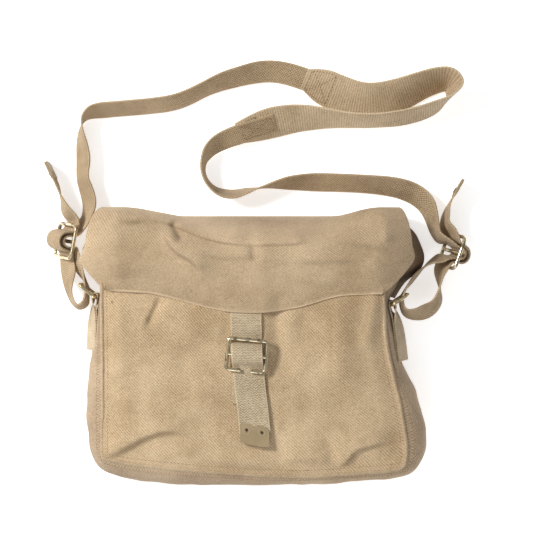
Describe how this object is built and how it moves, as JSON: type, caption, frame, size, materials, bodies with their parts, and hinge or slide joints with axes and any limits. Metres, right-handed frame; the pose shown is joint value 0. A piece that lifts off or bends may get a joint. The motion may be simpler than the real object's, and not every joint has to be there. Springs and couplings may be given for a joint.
{
  "type": "mail satchel",
  "caption": "Small flapped canvas satchel for letters, lying on its back, with a buckled closing strap and an adjustable webbing shoulder strap.",
  "frame": {"origin": "on the floor under the middle of the back panel, on which the bag lies", "axes": "+Z out of the front of the bag, +Y towards its mouth, +X to the right of someone who faces the front"},
  "size_m": [0.3612, 0.3597, 0.0627],
  "materials": {
    "canvas_back": "woven cotton canvas",
    "canvas_front": "twill cotton canvas",
    "canvas_gusset": "woven cotton canvas",
    "seam_canvas": "folded canvas seam, stitched",
    "canvas_flap": "woven cotton canvas",
    "closing_webbing": "herringbone cotton webbing",
    "narrow_webbing": "cotton webbing",
    "wide_webbing": "ribbed cotton webbing",
    "chape_webbing": "cotton webbing",
    "brass_tip": "painted and worn brass",
    "brass_buckle": "aged brass",
    "brass_ring": "aged brass"
  },
  "bodies": {
    "bag": {"back_panel": "canvas_back", "front_panel": "canvas_front", "gusset": "canvas_gusset", "front_seam": "seam_canvas", "back_seam": "seam_canvas", "closing_buckle_chape": "closing_webbing", "ring_chape_left": "chape_webbing", "ring_chape_right": "chape_webbing", "shoulder_strap_left": "narrow_webbing", "shoulder_strap_centre": "wide_webbing", "shoulder_strap_right": "narrow_webbing", "strap_tip_left": "brass_tip", "strap_tip_right": "brass_tip"},
    "flap_rear": {"flap_top": "canvas_flap", "flap_wing_left": "canvas_flap", "flap_wing_right": "canvas_flap"},
    "flap_lid": {"flap_front": "canvas_flap", "closing_strap": "closing_webbing", "closing_strap_tip": "brass_tip"},
    "closing_buckle": {"closing_buckle": "brass_buckle"},
    "ring_left": {"ring_left": "brass_ring"},
    "ring_right": {"ring_right": "brass_ring"},
    "strap_buckle_left": {"strap_buckle_left": "brass_buckle"},
    "strap_buckle_right": {"strap_buckle_right": "brass_buckle"}
  },
  "joints": [
    {"name": "flap_lift", "type": "hinge", "parent": "bag", "child": "flap_rear", "pos_m": [0, 0.115, 0.0018], "axis": [-1, 0, 0], "range_deg": [0, 52]},
    {"name": "flap_unfold", "type": "hinge", "parent": "flap_rear", "child": "flap_lid", "pos_m": [0, 0.0884, 0.0513], "axis": [-1, 0, 0], "range_deg": [0, 62.5], "deforming": ["closing_strap"]},
    {"name": "closing_buckle_tilt", "type": "hinge", "parent": "bag", "child": "closing_buckle", "pos_m": [-0.0069, -0.0004, 0.0572], "axis": [0.9945, -0.1045, 0], "range_deg": [-3, 0]},
    {"name": "ring_left_swing", "type": "hinge", "parent": "bag", "child": "ring_left", "pos_m": [-0.1328, 0.0462, 0.031], "axis": [0, 0, 1], "range_deg": [0, 10]},
    {"name": "ring_right_swing", "type": "hinge", "parent": "bag", "child": "ring_right", "pos_m": [0.1129, 0.04, 0.03], "axis": [0, 0, 1], "range_deg": [-10, 0]},
    {"name": "strap_buckle_left_tip", "type": "hinge", "parent": "bag", "child": "strap_buckle_left", "pos_m": [-0.1615, 0.0936, 0.0133], "axis": [0.6957, -0.1273, 0.707], "range_deg": [-4, 4]},
    {"name": "strap_buckle_right_tip", "type": "hinge", "parent": "bag", "child": "strap_buckle_right", "pos_m": [0.1657, 0.0848, 0.0162], "axis": [0.4715, -0.1665, 0.866], "range_deg": [-3, 3]}
  ],
  "couplings": [
    {"joint": "flap_unfold", "follows": "flap_lift", "ratio": 1.2}
  ]
}
